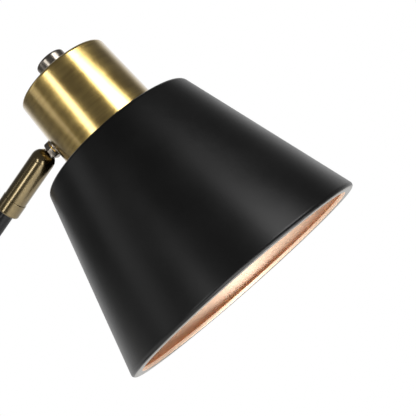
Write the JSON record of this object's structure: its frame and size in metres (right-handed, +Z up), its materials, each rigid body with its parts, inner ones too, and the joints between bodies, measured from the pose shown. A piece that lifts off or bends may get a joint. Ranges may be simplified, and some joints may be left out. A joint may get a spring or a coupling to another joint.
{
  "type": "swing arm desk lamp",
  "caption": "Swing arm desk lamp with a weighted round base, two jointed tube arms and a cone shade under a metal cap with a rotary switch.",
  "frame": {"origin": "centre of the base's underside, where it meets the desk", "axes": "+Z up; the arms lie in the XZ plane and reach towards +X"},
  "size_m": [0.3356, 0.19, 0.5498],
  "materials": {
    "black_paint": "satin black powder coat",
    "shade_paint": "satin black outside, satin copper-gold inside",
    "brushed_brass": "brushed antique brass, lacquered",
    "polished_brass": "polished antique brass",
    "dark_nickel": "dark nickel plating",
    "zinc_steel": "zinc plated",
    "cast_iron": "as cast",
    "felt": "black felt",
    "rubber": "moulded",
    "nylon": "natural nylon",
    "fibre": "vulcanised fibre",
    "phenolic": "black moulding",
    "contact_brass": "bright",
    "bulb_aluminium": "bright rolled thread",
    "bulb_glass": "frosted",
    "black_glass": "glassy",
    "solder": "soldered",
    "wire": "insulated"
  },
  "bodies": {
    "base": {"base_pad": "felt", "bottom_plate": "zinc_steel", "bottom_plate_screws": "zinc_steel", "base_weight": "cast_iron", "base_cover": "black_paint", "cord_grommet": "rubber", "base_nipple": "zinc_steel", "base_lock_washer": "zinc_steel", "base_nut": "zinc_steel", "swivel_seat": "polished_brass"},
    "post": {"post_washer": "nylon", "post": "polished_brass", "post_stop_screw": "dark_nickel", "shoulder_bolt": "polished_brass", "shoulder_cap_nut": "dark_nickel", "shoulder_friction_washers": "fibre"},
    "lower_arm": {"lower_arm_foot": "polished_brass", "lower_arm_tube": "black_paint", "lower_arm_lead": "wire", "elbow_fork": "polished_brass", "elbow_bolt": "polished_brass", "elbow_cap_nut": "dark_nickel", "elbow_friction_washers": "fibre"},
    "upper_arm": {"upper_arm_foot": "polished_brass", "upper_arm_tube": "black_paint", "upper_arm_lead": "wire", "swivel_collar": "polished_brass"},
    "swivel": {"swivel_sleeve": "polished_brass", "swivel_stop_screw": "dark_nickel", "swivel_pin": "polished_brass", "swivel_friction_washers": "fibre"},
    "head": {"swivel_stem": "dark_nickel", "swivel_nut": "dark_nickel", "swivel_washer": "contact_brass", "swivel_saddle_washer": "dark_nickel", "stem_bracket": "zinc_steel", "bracket_rivets": "zinc_steel", "stem_lock_washer": "zinc_steel", "stem_lock_nut": "zinc_steel", "cap": "brushed_brass", "cap_floor_plate": "zinc_steel", "shade": "shade_paint", "shade_ring": "phenolic", "lampholder": "phenolic", "holder_terminals": "contact_brass", "screw_shell": "contact_brass", "centre_contact": "contact_brass", "bulb_tip": "solder", "bulb_insulator": "black_glass", "bulb_cap": "bulb_aluminium", "bulb_glass": "bulb_glass", "switch_body": "phenolic", "switch_nut": "dark_nickel", "switch_tags": "contact_brass", "head_wires": "wire"},
    "knob": {"switch_knob": "dark_nickel", "switch_spindle": "contact_brass"}
  },
  "joints": [
    {"name": "base_swivel", "type": "hinge", "parent": "base", "child": "post", "pos_m": [0, 0, 0.04], "axis": [0, 0, 1], "range_deg": [-160, 160]},
    {"name": "shoulder_tilt", "type": "hinge", "parent": "post", "child": "lower_arm", "pos_m": [0, 0, 0.066], "axis": [0, 1, 0], "range_deg": [-35, 50]},
    {"name": "elbow_tilt", "type": "hinge", "parent": "lower_arm", "child": "upper_arm", "pos_m": [-0.08991, 0, 0.28852], "axis": [0, -1, 0], "range_deg": [-55, 57]},
    {"name": "head_swivel", "type": "hinge", "parent": "upper_arm", "child": "swivel", "pos_m": [0.0552, 0, 0.47969], "axis": [0.6046, 0, 0.7965], "range_deg": [-155, 155]},
    {"name": "head_tilt", "type": "hinge", "parent": "swivel", "child": "head", "pos_m": [0.0552, 0, 0.47969], "axis": [0, 1, 0], "range_deg": [-88, 35]},
    {"name": "switch_turn", "type": "hinge", "parent": "head", "child": "knob", "pos_m": [0.06871, 0, 0.52975], "axis": [-0.682, 0, 0.7314], "continuous": true}
  ]
}
